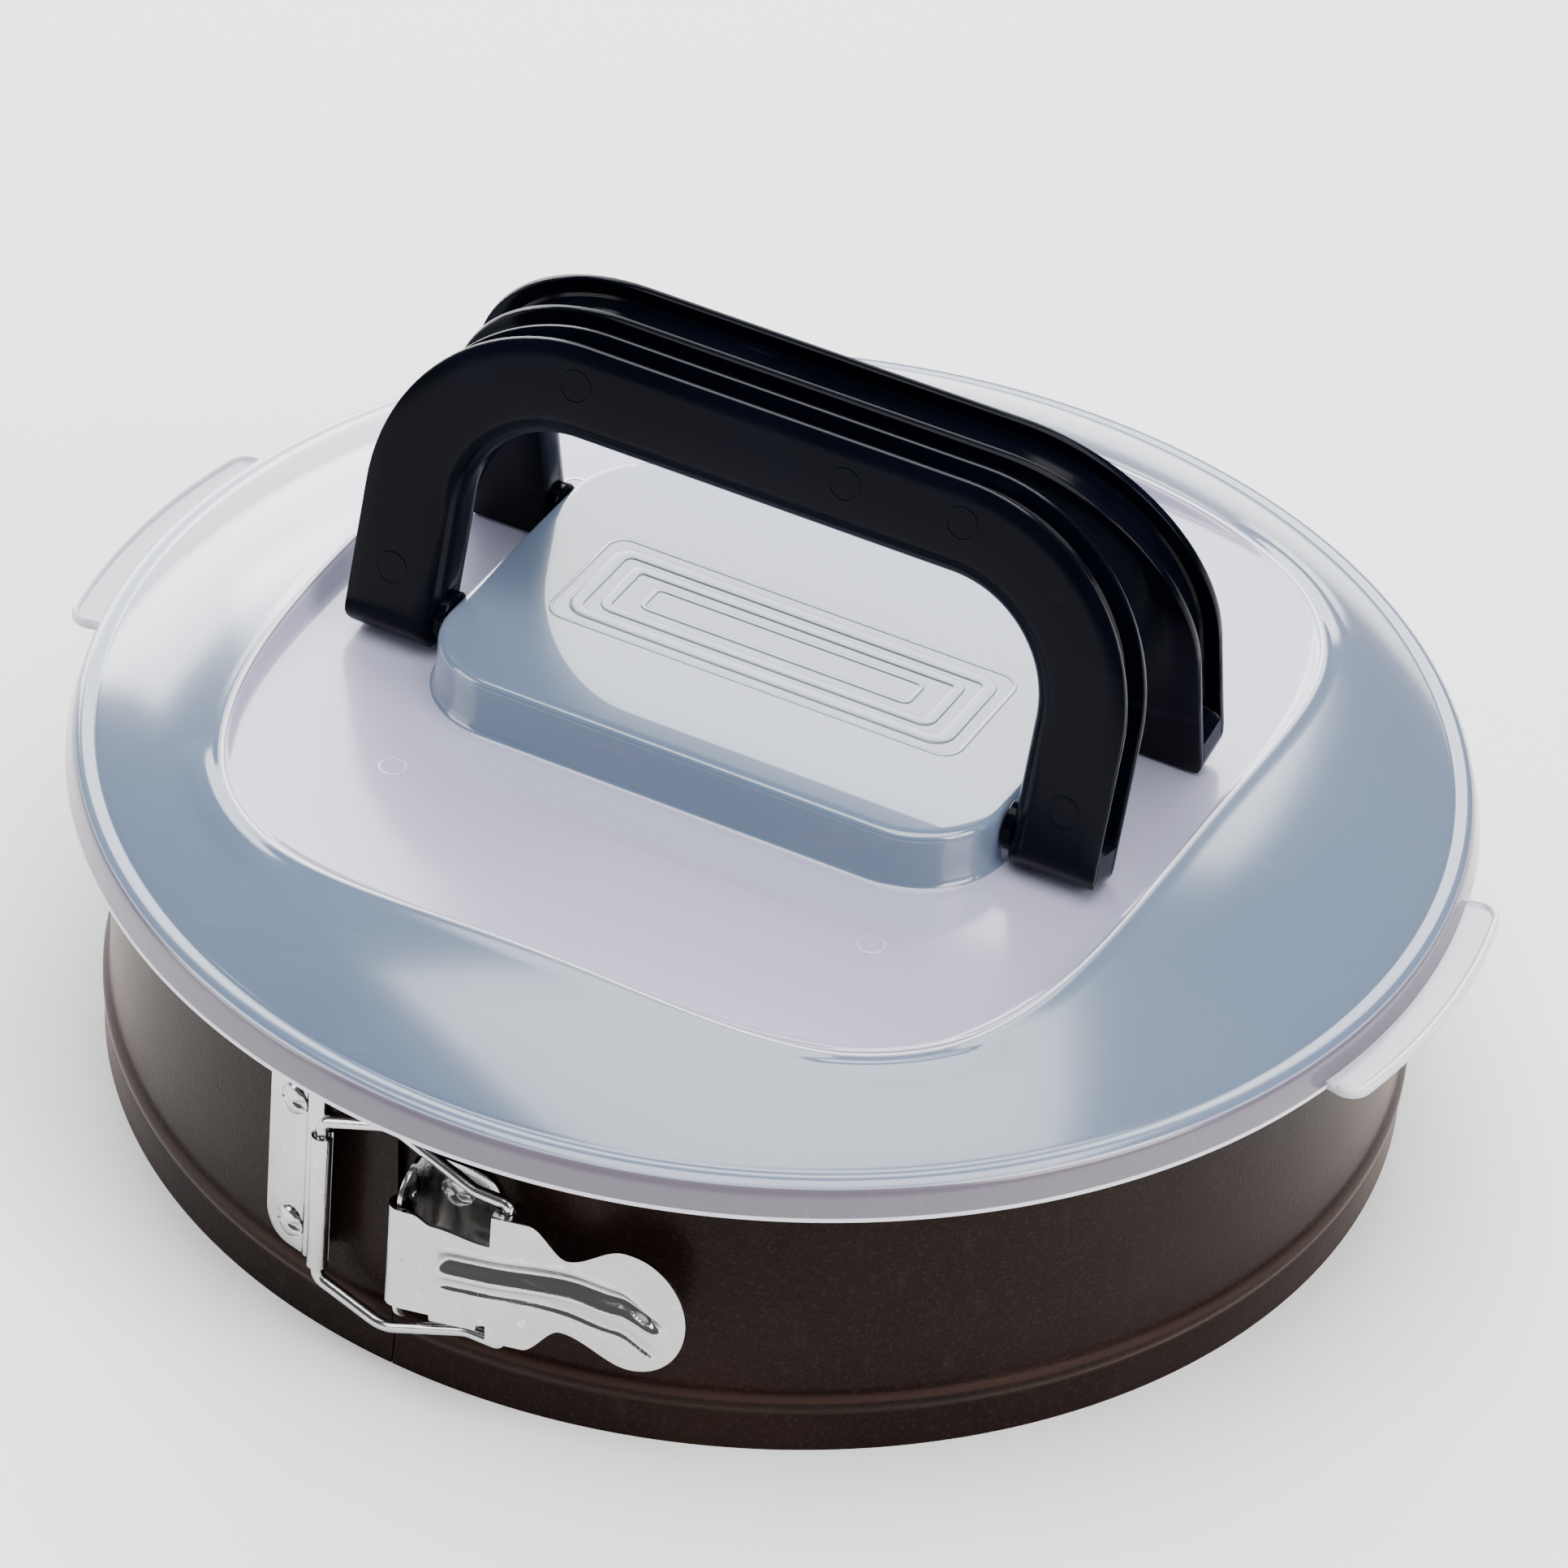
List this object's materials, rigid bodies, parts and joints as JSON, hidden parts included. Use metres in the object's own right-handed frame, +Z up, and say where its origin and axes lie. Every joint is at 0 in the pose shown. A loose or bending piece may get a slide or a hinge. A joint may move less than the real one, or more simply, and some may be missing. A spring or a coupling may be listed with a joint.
{
  "type": "springform pan",
  "caption": "Round springform cake pan with draw latch, loose base and domed translucent lid with two folding arch handles.",
  "frame": {"origin": "on the table under the centre of the pan", "axes": "+Z up, -Y towards the latch, X along the handle pivots and through the two lifting tabs"},
  "size_m": [0.2934, 0.2808, 0.1558],
  "materials": {
    "band_coating": "dark non-stick coating on steel sheet",
    "base_coating": "dark non-stick coating on steel sheet",
    "latch_sheet": "bright plated sheet",
    "rivet_steel": "bright plated",
    "bail_wire": "bright plated wire",
    "lid_plastic": "frosted translucent plastic with a glossy face",
    "handle_plastic": "glossy black plastic"
  },
  "bodies": {
    "right_band": {"band_right": "band_coating", "base_plate": "base_coating", "lever_bracket": "latch_sheet", "bracket_rivets": "rivet_steel"},
    "left_band": {"band_left": "band_coating", "hinge_plate": "latch_sheet", "hinge_plate_rivets": "rivet_steel"},
    "bail": {"wire_bail": "bail_wire"},
    "lever": {"lever": "latch_sheet"},
    "lid": {"lid": "lid_plastic"},
    "front_handle": {"front_handle": "handle_plastic"},
    "back_handle": {"back_handle": "handle_plastic"}
  },
  "joints": [
    {"name": "lever_open", "type": "hinge", "parent": "right_band", "child": "lever", "pos_m": [-0.0046, -0.1384, 0.036], "axis": [0, 0, -1], "range_deg": [0, 137]},
    {"name": "hoop_open", "type": "hinge", "parent": "right_band", "child": "left_band", "pos_m": [0, 0.134, 0.036], "axis": [0, 0, -1], "range_deg": [0, 5]},
    {"name": "bail_swing", "type": "hinge", "parent": "left_band", "child": "bail", "pos_m": [-0.025, -0.1335, 0.036], "axis": [0, 0, -1], "range_deg": [0, 32.2]},
    {"name": "lid_lift", "type": "slide", "parent": "right_band", "child": "lid", "axis": [0, 0, 1], "range_m": [0, 0.12]},
    {"name": "front_handle_fold", "type": "hinge", "parent": "lid", "child": "front_handle", "pos_m": [0, -0.02208, 0.08973], "axis": [1, 0, 0], "range_deg": [0, 104]},
    {"name": "back_handle_fold", "type": "hinge", "parent": "lid", "child": "back_handle", "pos_m": [0, 0.02208, 0.08973], "axis": [-1, 0, 0], "range_deg": [0, 104]}
  ],
  "couplings": [
    {"joint": "lever_open", "follows": "lid_lift", "rad_per_m": 19.925},
    {"joint": "hoop_open", "follows": "lid_lift", "rad_per_m": 0.7272},
    {"joint": "bail_swing", "follows": "lid_lift", "rad_per_m": 4.6833}
  ]
}
